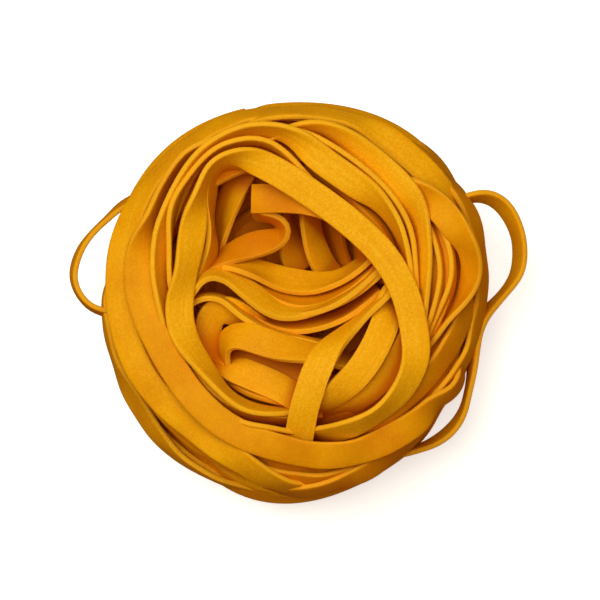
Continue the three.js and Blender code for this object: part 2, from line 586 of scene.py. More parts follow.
@dataclass
class Pile:
    """The height of what is already laid, on a fine grid seen from above, and the painted shade
    that is worked out from it.

    Attributes:
        cell: the grid's pitch in mm.
        half: half the grid's side in mm.
        empty: the height where nothing is laid, in mm.
        held_leans: two leans in degrees, between which less and less of a ribbon is held up.
        held_from: where across it the held part starts at each of them, from -1 at its lower
            edge to 1 at its raised one.
        surroundings: for the painted shade, how far round a point to look, how far below the mean
            there counts as deep, both in mm, and how much that counts.
        hollow, shoulder, foot: the radius or height in mm from which gaps get painted shade, and
            over how much that sets in.
    """

    cell: float = 0.4
    half: float = 52.0
    empty: float = -5.0
    held_leans: tuple[float, float] = (50.0, 85.0)
    held_from: tuple[float, float] = (-1.01, 0.55)
    surroundings: tuple[tuple[float, float, float], ...] = ((2.0, 5.0, 0.55), (5.0, 12.0, 0.45))
    hollow: tuple[float, float] = (30.0, -6.0)
    shoulder: tuple[float, float] = (14.0, 5.0)
    foot: tuple[float, float] = (6.0, 3.0)
    level: np.ndarray = field(init=False)
    means: list[np.ndarray] = field(init=False)

    def __post_init__(self) -> None:
        """Start with nothing laid."""
        count = int(2 * self.half / self.cell) + 1
        self.level = np.full((count, count), self.empty)

    def _cells(self, points: np.ndarray) -> tuple[np.ndarray, np.ndarray]:
        """Find the grid cells under points.

        Args:
            points: points in mm.

        Returns:
            Each point's row and column.
        """
        top = self.level.shape[0] - 1
        cells = np.rint((points[..., :2] + self.half) / self.cell).astype(int)
        cells = np.clip(cells, 0, top)
        return cells[..., 1], cells[..., 0]

    def add(self, ribbon: Ribbon) -> None:
        """Raise the level to the top of a ribbon.

        Args:
            ribbon: the ribbon, in its final place.
        """
        middle = ribbon.surface(ADDED_COLUMNS)
        _, face = ribbon.frames()
        offset = face[:, None, :] * (0.5 * RIBBON_THICKNESS)
        for skin in (middle - offset, middle, middle + offset):
            between = 0.5 * (skin[1:] + skin[:-1])
            for points in (skin, between):
                np.maximum.at(self.level, self._cells(points), points[..., 2])

    def lift_for(self, ribbon: Ribbon, sink: float) -> np.ndarray:
        """Say how far a ribbon has to rise, station by station, to lie on the pile.

        Args:
            ribbon: the ribbon as it is wanted.
            sink: how far it may sink into what it crosses, in mm.

        Returns:
            The rise at each station in mm, never negative.
        """
        points = ribbon.surface(CHECKED_COLUMNS)
        _, face = ribbon.frames()
        under = self.level[self._cells(points)]
        clear = 0.5 * RIBBON_THICKNESS * np.abs(face[:, None, 2]) - sink
        lift = under + clear - points[..., 2]
        share = np.linspace(-1, 1, CHECKED_COLUMNS) * np.sign(ribbon.lean)[:, None]
        start = np.interp(np.abs(ribbon.lean), self.held_leans, self.held_from)[:, None]
        lift = np.where(share >= start, lift, 0.0)
        return np.maximum(lift.max(axis=1), 0.0)

    def settle(self) -> None:
        """Work out the mean level round each cell, once everything is laid."""
        ground = np.maximum(self.level, 0.0)
        self.means = []
        for reach, _, _ in self.surroundings:
            cells = reach / self.cell
            self.means.append(softened(softened(ground, cells).T, cells).T)

    def painted_shade(self, points: np.ndarray) -> np.ndarray:
        """Say how deep points lie below what is round them, which sets the painted shade there.

        Args:
            points: points in mm.

        Returns:
            0 in the open, rising to 1 deep in a gap, where the painted shade is darkest.
        """
        cells = self._cells(points)
        height = points[:, 2]
        deep = np.zeros(len(points))
        for mean, (_, depth, weight) in zip(self.means, self.surroundings):
            deep += weight * (mean[cells] - height) / depth
        reach = np.hypot(points[:, 0] - BUNDLE_MIDDLE[0], points[:, 1] - BUNDLE_MIDDLE[1])
        open_above = np.maximum(ramp(reach, *self.hollow), ramp(height, *self.shoulder))
        return np.clip(deep, 0.0, 1.0) * open_above * ramp(height, *self.foot)


@dataclass(frozen=True)
class Route:
    """Where one ribbon runs.

    Attributes:
        name: what the ribbon is called.
        knots: east, north, width seen from above and height of its middle, in mm. A negative
            width raises the right-hand edge.
        tone: 0 for a deeper dough colour, 1 for a paler one; partly painted light and
            shade, lower on ribbons that lie deep and in shade.
        tone_and_shade_end: the tone at its far end, where that differs.
        cup: bow across the ribbon in mm.
        tuck: length at each end that may run in under other ribbons, in mm.
        rests: whether it is lifted to lie on what is already laid.
    """

    name: str
    knots: tuple[Knot, ...]
    tone: float = 0.5
    tone_and_shade_end: float | None = None
    cup: float = 0.15
    tuck: tuple[float, float] = (3.0, 3.0)
    rests: bool = True

    def laid(self, pile: Pile, spacing: float, number: int) -> Ribbon:
        """Lay the ribbon on the pile.

        Args:
            pile: what is already laid; this ribbon is added to it.
            spacing: distance between stations in mm.
            number: the ribbon's own number, which settles its small irregularities.

        Returns:
            The ribbon in its place.
        """
        knots = np.array(self.knots, dtype=float)
        leans = np.array([lean_for(width) for width in knots[:, 2]])
        stations, places = spline(knots[:, :2], spacing)
        count = np.arange(len(knots))
        height = softened(np.interp(places, count, knots[:, 3]), SMOOTH_HEIGHT / spacing)
        line = np.column_stack([softened(stations, SMOOTH_LINE / spacing), height])
        lean = softened(np.interp(places, count, leans), SMOOTH_LEAN / spacing)
        rng = np.random.default_rng(SEED + number)
        run = np.arange(len(line)) * spacing
        for _ in range(WOBBLES):
            angle = 2 * math.pi * run / rng.uniform(*WOBBLE_LENGTHS)
            phase = rng.uniform(0, 2 * math.pi)
            lean = lean + rng.uniform(*WOBBLE_LEANS) * np.sin(angle + phase)
            line[:, 2] += rng.uniform(*WOBBLE_HEIGHTS) * np.sin(angle + 2 * phase)
        far_tone_and_shade = self.tone if self.tone_and_shade_end is None else self.tone_and_shade_end
        ribbon = Ribbon(line, lean, self.cup, np.linspace(self.tone, far_tone_and_shade, len(line)))
        if self.rests:
            ends = np.ones(len(line))
            for tucked, distance in zip(self.tuck, (run, run[::-1])):
                if tucked > 0:
                    ends = np.minimum(ends, ramp(distance, tucked, TUCK_RISE))
            lift = pile.lift_for(ribbon, SINK) * ends
            reach = int(round(HOLD_UP / spacing))
            padded = np.pad(lift, reach, mode="edge")
            widest = np.max([padded[k : k + len(lift)] for k in range(2 * reach + 1)], axis=0)
            ribbon.line[:, 2] += softened(widest, SMOOTH_LIFT / spacing)
        pile.add(ribbon)
        return ribbon


def ribbon_mesh(ribbon: Ribbon, name: str) -> bpy.types.Object:
    """Bend a flat strip along a ribbon's place.

    Args:
        ribbon: the laid ribbon.
        name: the new object's name.

    Returns:
        The strip, a mid-surface with no thickness yet.
    """
    stations = len(ribbon.line)
    deselect()
    bpy.ops.mesh.primitive_grid_add(
        x_subdivisions=stations - 1, y_subdivisions=ribbon.columns - 1, size=1.0
    )
    strip = bpy.context.object
    strip.name = name
    mesh = strip.data
    flat = np.empty(len(mesh.vertices) * 3)
    mesh.vertices.foreach_get("co", flat)
    flat = flat.reshape(-1, 3)
    station = np.rint((flat[:, 0] + 0.5) * (stations - 1)).astype(int)
    column = np.rint((flat[:, 1] + 0.5) * (ribbon.columns - 1)).astype(int)
    bent = ribbon.surface(ribbon.columns)[station, column] * MM + np.array(BASE)
    mesh.vertices.foreach_set("co", bent.ravel())
    run = run_along(ribbon.line)
    corners = np.empty(len(mesh.loops), dtype=np.int32)
    mesh.loops.foreach_get("vertex_index", corners)
    chart = np.column_stack([run[station] * MM, column / (ribbon.columns - 1)])[corners]
    mesh.uv_layers[0].name = "UVMap"
    mesh.uv_layers[0].data.foreach_set("uv", chart.ravel())
    # The tone, partly painted light and shade, kept on the mesh.
    tone = mesh.attributes.new("tone", "FLOAT", "POINT")
    tone.data.foreach_set("value", ribbon.tone[station])
    mesh.update()
    return strip


def dress(piece: bpy.types.Object, material: bpy.types.Material, pile: Pile) -> None:
    """Give a piece its painted shade by depth among the ribbons, its material and its body.

    Args:
        piece: the piece, in its final place.
        material: its material.
        pile: everything that is laid.
    """
    mesh = piece.data
    flat = np.empty(len(mesh.vertices) * 3)
    mesh.vertices.foreach_get("co", flat)
    # Painted shade: how deep each point lies among the ribbons, kept on the mesh for the dough.
    deep = pile.painted_shade((flat.reshape(-1, 3) - np.array(BASE)) / MM)
    painted_shade = mesh.attributes.new("painted_shade", "FLOAT", "POINT")
    painted_shade.data.foreach_set("value", deep)
    mesh.materials.clear()
    mesh.materials.append(material)
    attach(piece, BODY)
    LOG.info("%s: %d faces", piece.name, len(mesh.polygons))


def joined_ribbons(ribbons: list[Ribbon], name: str) -> bpy.types.Object:
    """Make one piece of several laid ribbons.

    Args:
        ribbons: the ribbons.
        name: the piece's name.

    Returns:
        The piece, with the dough's thickness and rounded cut edges.
    """
    LOG.info("%s: %d ribbons", name, len(ribbons))
    strips = [ribbon_mesh(ribbon, f"{name}_{k}") for k, ribbon in enumerate(ribbons)]
    deselect()
    for strip in strips:
        strip.select_set(True)
    bpy.context.view_layer.objects.active = strips[0]
    if len(strips) > 1:
        bpy.ops.object.join()
    piece = bpy.context.object
    piece.name = name
    piece.data.name = name
    wall = piece.modifiers.new("dough thickness", "SOLIDIFY")
    wall.thickness = RIBBON_THICKNESS * MM
    wall.offset = 0.0
    bpy.ops.object.modifier_apply(modifier=wall.name)
    edges = piece.modifiers.new("rounded cut edges", "BEVEL")
    edges.width = EDGE_ROUNDING * MM
    edges.segments = EDGE_STEPS
    edges.limit_method = "ANGLE"
    edges.angle_limit = math.radians(SHARP_ANGLE)
    bpy.ops.object.modifier_apply(modifier=edges.name)
    bpy.ops.object.shade_smooth()
    return piece


# --------------------------------------------------------------------------------------------
# The wound bundle


def outline(bearing: np.ndarray) -> np.ndarray:
    """Give the bundle's reach at bearings.

    Args:
        bearing: bearings in radians.

    Returns:
        The reach in mm.
    """
    reach = np.full_like(bearing, BUNDLE_REACH)
    for waves, size, peak in OUTLINE_WAVES:
        reach = reach + size * np.cos(waves * (bearing - math.radians(peak)))
    return reach


def round_turn(start: float, step: float) -> tuple[np.ndarray, np.ndarray]:
    """Go once round and a little further, so that the far end passes behind the near one.

    Args:
        start: the bearing of the near end, in radians.
        step: the angle between stations, in radians.

    Returns:
        The bearings, and how far each is tucked away behind: 0 not at all, 1 fully.
    """
    overlap, early, sweep = 0.3, 0.12, 0.2
    run = np.arange(0.0, 2 * math.pi + overlap, step)
    away = ramp(run, 2 * math.pi - early, sweep)
    return start + run, away * away * (3 - 2 * away)


def step_for(radius: float) -> float:
    """Give the angle between the stations of a turn.

    Args:
        radius: the turn's radius in mm.

    Returns:
        An angle in radians, which is 1 mm along the turn, or less on the smallest turns.
    """
    return 1 / max(6.0, radius)


def ring_line(
    angle: np.ndarray,
    reach: np.ndarray,
    height: np.ndarray,
    shift: tuple[float, float] = (0.0, 0.0),
) -> np.ndarray:
    """Give the mid-line of a turn.

    Args:
        angle: bearings in radians.
        reach: distance from the middle at each bearing, in mm.
        height: height at each bearing, in mm.
        shift: how far east and north of the bundle's middle the turn's is, in mm.

    Returns:
        Points in mm.
    """
    east = BUNDLE_MIDDLE[0] + shift[0] + reach * np.cos(angle)
    north = BUNDLE_MIDDLE[1] + shift[1] + reach * np.sin(angle)
    return np.column_stack([east, north, height])


@dataclass
class OuterWall:
    """The turns round the side, each tucked behind the next like shingles.

    Attributes:
        section: (how far inside the outline, height) from the foot's rim up to the shoulder.
        span: the shares of the section's length that turns keep between.
        wander: waves that a turn climbs and falls by, as shares of the section: size and number.
        slack: waves that it stands in and out by: size in mm and number.
        inset: how far inside the outline the turns' mid-surfaces are kept, in mm.
        tuck: how far in a turn's far end passes, in mm.
        shingle: how far a turn's upper edge is tucked in, in degrees.
        look: how far up and down the section its slope is taken, in mm.
        smoothing: how far along a turn its lean is smoothed, in stations.
        dips: bearing in degrees, depth in mm and half-angle in degrees of each place where the
            shoulder falls away.
        dip_rise: the height in mm where the dips start, and over how much they deepen.
        dip_drop: how far a turn in a dip comes down, as a share of how far it stands in.
        lowest: the least height of a turn's mid-surface, in mm.
    """

    section: tuple[tuple[float, float], ...] = (
        (12.0, 1.5),
        (7.0, 2.8),
        (3.4, 5.6),
        (1.4, 10.0),
        (0.7, 14.5),
        (1.8, 18.2),
        (4.6, 21.6),
        (8.0, 24.4),
    )
    count: int = 11
    step: float = 0.0233
    span: tuple[float, float] = (0.02, 0.98)
    wander: tuple[tuple[float, int], ...] = ((0.055, 1), (0.025, 2))
    slack: tuple[tuple[float, int], ...] = ((0.45, 3), (0.3, 5))
    inset: float = 0.7
    tuck: float = 1.6
    shingle: float = 20.0
    look: float = 1.0
    smoothing: float = 4.0
    dips: tuple[tuple[float, float, float], ...] = (
        (-133.0, 6.0, 24.0),
        (-35.0, 1.7, 8.0),
        (35.0, 1.8, 8.0),
    )
    dip_rise: tuple[float, float] = (13.0, 4.0)
    dip_drop: float = 0.5
    lowest: float = 0.68
    # Tones partly painted light, kept paler on these steep turns.
    tones_and_shade: tuple[float, float] = (0.35, 0.75)
    cup: float = 0.1

    def fallen(self, angle: np.ndarray, height: np.ndarray) -> np.ndarray:
        """Give how far the shoulder falls away.

        Args:
            angle: bearings in radians.
            height: height at each bearing, in mm.

        Returns:
            Distances in mm.
        """
        fallen = np.zeros_like(angle)
        for bearing, depth, half_angle in self.dips:
            off = (angle - math.radians(bearing) + math.pi) % (2 * math.pi) - math.pi
            fallen += depth * np.exp(-((off / math.radians(half_angle)) ** 2))
        return fallen * ramp(height, *self.dip_rise)

    def turns(self) -> Iterator[Ribbon]:
        """Wind the turns.

        Yields:
            Each turn, lowest first.
        """
        shape = np.array(self.section)
        run = run_along(shape)
        rng = np.random.default_rng(WALL_SEED)
        for turn in range(self.count):
            angle, away = round_turn(rng.uniform(0, 2 * math.pi), self.step)
            share = (turn + 0.5) / self.count
            wander = ripple(angle, rng, self.wander) * math.sin(math.pi * share)
            place = np.clip(share + wander, *self.span) * run[-1]
            ahead = np.minimum(place + self.look, run[-1])
            behind = np.maximum(place - self.look, 0)
            around = (place, ahead, behind)
            inside, ahead_in, behind_in = (np.interp(at, run, shape[:, 0]) for at in around)
            height, ahead_up, behind_up = (np.interp(at, run, shape[:, 1]) for at in around)
            slope = np.degrees(np.arctan2(ahead_up - behind_up, ahead_in - behind_in))
            fallen = self.fallen(angle, height)
            slack = ripple(angle, rng, self.slack)
            reach = outline(angle) - inside - self.inset + slack - fallen - self.tuck * away
            line = ring_line(angle, reach, height - self.dip_drop * fallen)
            tone = np.full(len(line), rng.uniform(*self.tones_and_shade))
            lean = softened(slope - self.shingle, self.smoothing)
            ribbon = Ribbon(line, lean, self.cup, tone, WOUND_COLUMNS)
            lowest = ribbon.surface(WOUND_COLUMNS)[:, :, 2].min(axis=1)
            ribbon.line[:, 2] += np.maximum(self.lowest - lowest, 0.0)
            yield ribbon


@dataclass
class InnerTurns:
    """Turns inside the bundle, which show between the upper ones.

    Attributes:
        rings: radius, height and lean in degrees of each ring of turns, in mm.
        wander: waves that a turn stands in and out by: size in mm and number.
        climb: how far it comes up with them, as a share of how far it stands out.
        centred: the radii in mm up to which turns lie round the hollow, and from which they lie
            round the bundle's middle.
        shift: how far east and north of the bundle's middle the hollow's is, in mm.
        tilt: how much a turn round the hollow climbs towards the south.
        level_at: how far north it stands at its own height, in mm.
        tilt_limits: how far north and south of there the climb goes on, in mm.
        tuck: how far down a turn's far end passes, in mm.
    """

    rings: tuple[tuple[float, float, float], ...] = (
        (32.5, 24.8, 35.0),
        (31.2, 26.2, 32.0),
        (28.4, 20.8, -60.0),
        (24.2, 16.4, -52.0),
        (21.5, 15.4, -60.0),
        (19.5, 13.4, -60.0),
        (17.5, 12.4, -50.0),
        (14.5, 11.2, -30.0),
        (11.0, 10.6, -15.0),
        (7.0, 10.4, -10.0),
        (3.5, 10.2, 0.0),
    )
    wander: tuple[tuple[float, int], ...] = ((0.9, 1), (0.4, 3))
    climb: float = 0.5
    centred: tuple[float, float] = (20.0, 30.0)
    shift: tuple[float, float] = (1.8, 3.0)
    tilt: float = 0.06
    level_at: float = 2.0
    tilt_limits: tuple[float, float] = (-6.0, 20.0)
    tuck: float = 1.4
    # Deep tones, partly painted shade on these turns inside the bundle.
    tones_and_shade: tuple[float, float] = (0.0, 0.3)
    cup: float = 0.1

    def turns(self) -> Iterator[Ribbon]:
        """Wind the turns.

        Yields:
            Each turn, the outermost first.
        """
        rng = np.random.default_rng(INNER_SEED)
        for radius, height, lean in self.rings:
            angle, away = round_turn(rng.uniform(0, 6), step_for(radius))
            wander = ripple(angle, rng, self.wander)
            share = np.interp(radius, self.centred, (1.0, 0.0))
            shift = (self.shift[0] * share, self.shift[1] * share)
            rise = height + self.climb * wander - self.tuck * away
            line = ring_line(angle, radius + wander, rise, shift)
            line[:, 2] += share * self.tilt * np.clip(self.level_at - line[:, 1], *self.tilt_limits)
            tone = np.full(len(line), rng.uniform(*self.tones_and_shade))
            yield Ribbon(line, np.full(len(line), lean), self.cup, tone, WOUND_COLUMNS)


@dataclass
class Foot:
    """The flat underside: turns that dried lying flat.

    Attributes:
        radii: middle radius of each turn in mm.
        wander: waves that a turn stands in and out by: size in mm and number.
        tuck: how far up a turn's far end passes, in mm.
    """

    radii: tuple[float, ...] = (4.0, 8.6, 13.0, 17.4, 21.8, 26.0)
    wander: tuple[tuple[float, int], ...] = ((0.8, 1), (0.3, 3))
    height: float = 1.05
    tuck: float = 1.3
    lean: float = 8.0
    tones_and_shade: tuple[float, float] = (0.2, 0.8)

    def turns(self) -> Iterator[Ribbon]:
        """Wind the turns.

        Yields:
            Each turn, the innermost first.
        """
        rng = np.random.default_rng(FOOT_SEED)
        for radius in self.radii:
            angle, away = round_turn(rng.uniform(0, 6), step_for(radius))
            reach = radius + ripple(angle, rng, self.wander)
            line = ring_line(angle, reach, self.height + self.tuck * away)
            tone = np.full(len(line), rng.uniform(*self.tones_and_shade))
            yield Ribbon(line, np.full(len(line), self.lean), 0.0, tone, WOUND_COLUMNS)


@dataclass
class Heart:
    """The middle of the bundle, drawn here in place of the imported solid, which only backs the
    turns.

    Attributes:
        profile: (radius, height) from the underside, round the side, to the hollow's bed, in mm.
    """

    profile: tuple[tuple[float, float], ...] = (
        (24.0, 2.4),
        (33.0, 7.0),
        (35.0, 13.0),
        (33.0, 19.0),
        (28.5, 18.0),
        (22.5, 12.5),
        (17.5, 9.2),
        (9.0, 7.8),
        (2.0, 7.6),
    )
    tone: float = 0.3
    sides: int = 48

    def build(self) -> bpy.types.Object:
        """Draw the body up from a disc, ring by ring.

        Returns:
            The closed body.
        """
        reach, height = self.profile[0]
        middle = BASE + Vector((BUNDLE_MIDDLE[0] * MM, BUNDLE_MIDDLE[1] * MM, 0.0))
        deselect()
        bpy.ops.mesh.primitive_circle_add(
            vertices=self.sides,
            radius=reach * MM,
            fill_type="NGON",
            location=middle + Vector((0.0, 0.0, height * MM)),
        )
        heart = bpy.context.object
        heart.name = heart.data.name = "heart"
        bpy.ops.object.transform_apply(location=True, rotation=True, scale=True)
        bpy.ops.object.mode_set(mode="EDIT")
        bpy.ops.mesh.select_all(action="SELECT")
        for next_reach, next_height in self.profile[1:]:
            rise = (next_height - height) * MM
            bpy.ops.mesh.extrude_region_move(TRANSFORM_OT_translate={"value": (0.0, 0.0, rise)})
            share = next_reach / reach
            bpy.ops.transform.resize(value=(share, share, 1.0), center_override=middle)
            reach, height = next_reach, next_height
        bpy.ops.mesh.select_all(action="SELECT")
        bpy.ops.mesh.normals_make_consistent(inside=False)
        bpy.ops.object.mode_set(mode="OBJECT")
        bpy.ops.object.shade_smooth()
        return heart

    def dress(
        self, heart: bpy.types.Object, material: bpy.types.Material, pile: Pile
    ) -> None:
        """Give the body its tone and material, and let it stand for the CAD solid.

        Args:
            heart: the closed body.
            material: its material.
            pile: everything that is laid.
        """
        tone = heart.data.attributes.new("tone", "FLOAT", "POINT")
        tone.data.foreach_set("value", np.full(len(heart.data.vertices), self.tone))
        dress(heart, material, pile)
        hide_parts(NODE)


# --------------------------------------------------------------------------------------------
# The ribbons that show from above, lowest first

# Each route's tone is partly painted light and shade: lower on ribbons that lie deep and in shade.
OUTER_ROUTES = (
    Route("south_west_outer", (
        (-37.5, 6, 1.6, 11), (-38.9, 1.8, 1.6, 13.5), (-39, -2.5, 1.6, 15), (-37.6, -9.5, 2, 16),
        (-35.1, -15.9, 3.2, 16), (-31.8, -21.6, 4.2, 15.8), (-28.5, -26.6, 3.5, 15.6),
        (-24.8, -30.6, 2.6, 15.2), (-20.4, -33.6, 2.1, 14.8), (-15, -36.2, 1.8, 14.4),
        (-8, -38.1, 1.7, 13), (0, -38.6, 1.7, 11),
    ), rests=False, tone=0.55),
    Route("south_face", (
        (-20, -27.6, 3.2, 17), (-16, -30.4, 3.4, 19.5), (-12, -32.4, 3.7, 20.8), (-8, -34, 4, 21),
        (-2.8, -35.3, 4.2, 21), (2.4, -35.8, 4.2, 21), (7.6, -35, 3.8, 20.5), (13, -33, 3, 19),
        (18, -29.5, 3, 16.5),
    ), tone=0.0),
    Route("south_east_broad", (
        (28.4, -18.4, -3, 19.5), (26, -22.1, -3, 21.5), (24, -25.6, -3.2, 22.4),
        (21.6, -28.4, -3.5, 22.6), (17.8, -31, -3.7, 22.4), (13.6, -33.6, -3.9, 22),
        (9.2, -35.6, -3.8, 21.2), (4.2, -37.2, -3.2, 19.8), (-0.8, -37.9, -2.6, 17.6),
        (-6, -37.4, -2.2, 15),
    ), tone=0.15),
    Route("north_and_west_broad", (
        (8, 36, 2.2, 21), (4, 36.9, 2.6, 22.8), (0, 37.5, 3, 24.3), (-4.8, 37.7, 3.3, 25.1),
        (-9.8, 37.3, 3.4, 25.4), (-13.8, 36.1, 3.5, 25.4), (-17.8, 34.3, 3.5, 25.4),
        (-21.8, 31.6, 3.6, 25.4), (-25.8, 28.2, 3.8, 25.4), (-29.4, 24, 4.2, 25.4),
        (-32.1, 19.8, 4.6, 25.4), (-34, 15.5, 4.9, 25.4), (-35.2, 11.2, 5.1, 25.4),
        (-35.8, 6.8, 5.2, 25.4), (-35.9, 2.4, 5.2, 25.4), (-35.5, -2, 5.2, 25.4),
        (-34.5, -6.6, 5.2, 25.4), (-33, -10.8, 5.2, 25.4), (-31.1, -14.5, 5.2, 25.4),
        (-28.3, -18.2, 5.2, 25.4), (-24.9, -21.6, 5.2, 25.4), (-20.2, -25.4, 5.2, 25.4),
        (-16.2, -28.5, 5.1, 25.2), (-12.2, -31.2, 4.9, 24.8), (-8.4, -33.8, 4.5, 24),
        (-4.8, -35.7, 3.9, 22.6), (-0.8, -36.9, 3.4, 20), (4, -36.6, 3, 17),
    ), tone=0.6),
    Route("north_east_broad", (
        (-12, 35.9, -2.4, 22), (-7, 37.2, -2.8, 23.8), (-2, 37.8, -3.1, 25), (3, 37.9, -3.2, 25.4),
        (7.4, 37.2, -3.5, 25.8), (11, 36.3, -4, 26.2), (14.2, 34.8, -4.6, 26.6),
        (17.2, 32.9, -5, 26.9), (20.2, 30.6, -5.1, 27.1), (23.2, 28, -5.1, 27.2),
        (26.2, 25, -5, 27), (29, 21.6, -4.8, 26.2), (31.2, 17.6, -4.4, 25), (32.6, 13, -4, 23),
    ), tone=0.75),
    Route("east_edge", (
        (28, 26.5, -1.8, 17), (30.4, 23.9, -2.2, 19.5), (32.2, 21.4, -2.8, 21),
        (33.8, 18.8, -3.2, 22.4), (35.2, 15.4, -3.2, 23), (36.1, 11.3, -3.2, 23),
        (36.6, 6.5, -3.2, 23), (36.5, 1.5, -3, 22.4), (35.7, -3.5, -2.8, 21.2), (34.7, -8, -3, 20),
        (32.6, -12.4, -3, 19), (29.8, -16.2, -3, 18), (26.9, -19.3, -2.8, 17),
        (23.6, -22.3, -2.8, 15.5),
    ), tone=0.4),
)

LOOP_ROUTES = (
    Route("west_loop", (
        (-29, 22.6, 1.9, 17), (-35.4, 19.6, 1.9, 16.5), (-38.8, 16.6, 1.9, 16),
        (-41.5, 14, 1.9, 15.5), (-43.9, 10.8, 1.9, 15), (-45.3, 6.9, 1.9, 15),
        (-45.3, 4.1, 1.9, 15), (-44.1, 1.4, 1.9, 15), (-42.2, -0.7, 1.9, 15),
        (-39.8, -1.8, 1.9, 15), (-36.5, -2.4, 1.9, 15), (-32, -2.2, 1.9, 15),
    ), rests=False, tone=0.4),
    Route("east_loop", (
        (28, 19, 2.4, 20), (32.6, 20.6, 2.6, 20), (35.8, 21.4, 2.7, 19.3), (38.4, 21.1, 2.9, 18.5),
        (40.9, 19.5, 3.2, 17.8), (43, 16.4, 3.4, 17), (44.3, 12.5, 3.5, 16.6),
        (44.4, 8.2, 3.3, 16.3), (43.6, 5.2, 2.4, 16.2), (42, 2.8, 1.6, 16.3),
        (39.9, 0.4, 2.2, 16.6), (37.4, -2.3, 3.6, 17), (35.9, -5.5, 2.6, 17), (35.2, -9.5, 2.2, 17),
        (34.8, -13.9, 2.1, 17), (34, -18.3, 2.1, 16.6), (32.9, -22.3, 2.1, 16),
        (30.5, -25.7, 2.1, 15.6), (27.3, -28.1, 2.2, 15.5), (23.9, -29.5, 2.2, 15.5),
        (20.4, -30.4, 2.2, 15.5), (16, -30.5, 2.2, 15.5),
    ), rests=False, tone=0.5),
)

